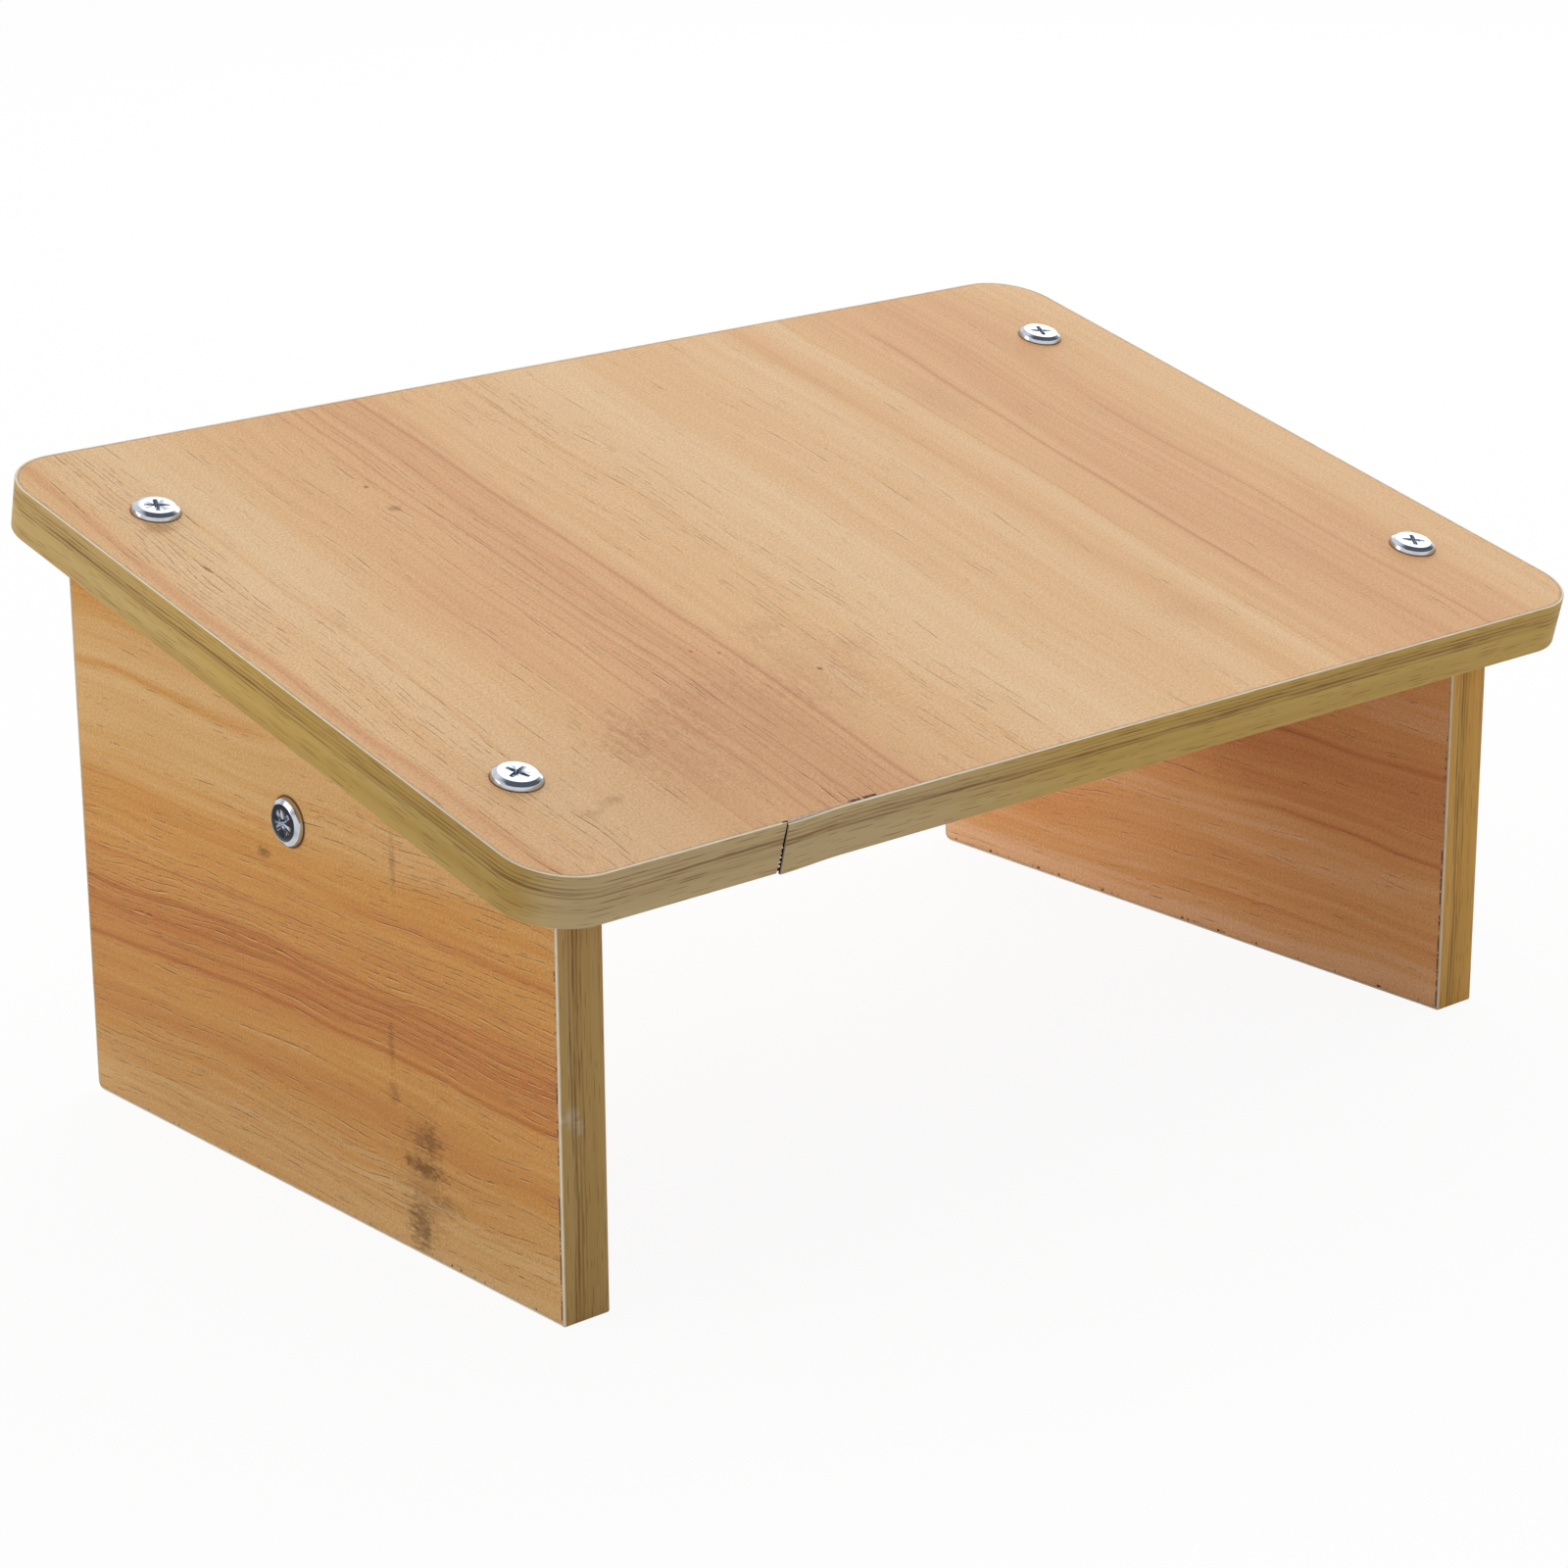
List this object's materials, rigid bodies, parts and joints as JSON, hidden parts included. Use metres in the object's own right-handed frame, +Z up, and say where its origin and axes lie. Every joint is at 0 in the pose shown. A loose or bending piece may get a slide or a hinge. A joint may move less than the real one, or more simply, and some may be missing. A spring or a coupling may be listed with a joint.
{
  "type": "sloping footrest",
  "caption": "Low sloping footrest: a faced board with rounded corners and a printed edge band, bolted down onto upright side panels that a cross rail ties together.",
  "frame": {"origin": "on the floor, under the middle of the outline", "axes": "+Z up, X along the width, the low front edge of the top faces -Y, left is -X"},
  "size_m": [0.4, 0.2562, 0.1924],
  "materials": {
    "faced_board": "satin melamine face with a printed reddish cherry-like grain and fine embossed pores",
    "edge_band": "cream plastic strip with an olive-brown grain printed on its outer face",
    "bolt_steel": "bright plated steel, lightly scuffed",
    "insert_metal": "dull zinc-plated sleeve",
    "dowel_wood": "bare beech with pressed flutes"
  },
  "bodies": {
    "root": {"back_left_bolt": "bolt_steel", "back_left_insert": "insert_metal", "back_right_bolt": "bolt_steel", "back_right_insert": "insert_metal", "cross_rail": "faced_board", "front_left_bolt": "bolt_steel", "front_left_insert": "insert_metal", "front_right_bolt": "bolt_steel", "front_right_insert": "insert_metal", "left_back_band": "edge_band", "left_bottom_band": "edge_band", "left_dowel": "dowel_wood", "left_front_band": "edge_band", "left_rail_bolt": "bolt_steel", "left_rail_insert": "insert_metal", "left_side_panel": "faced_board", "rail_lower_band": "edge_band", "rail_upper_band": "edge_band", "right_back_band": "edge_band", "right_bottom_band": "edge_band", "right_dowel": "dowel_wood", "right_front_band": "edge_band", "right_rail_bolt": "bolt_steel", "right_rail_insert": "insert_metal", "right_side_panel": "faced_board", "top_board": "faced_board", "top_edge_band": "edge_band"}
  },
  "joints": []
}
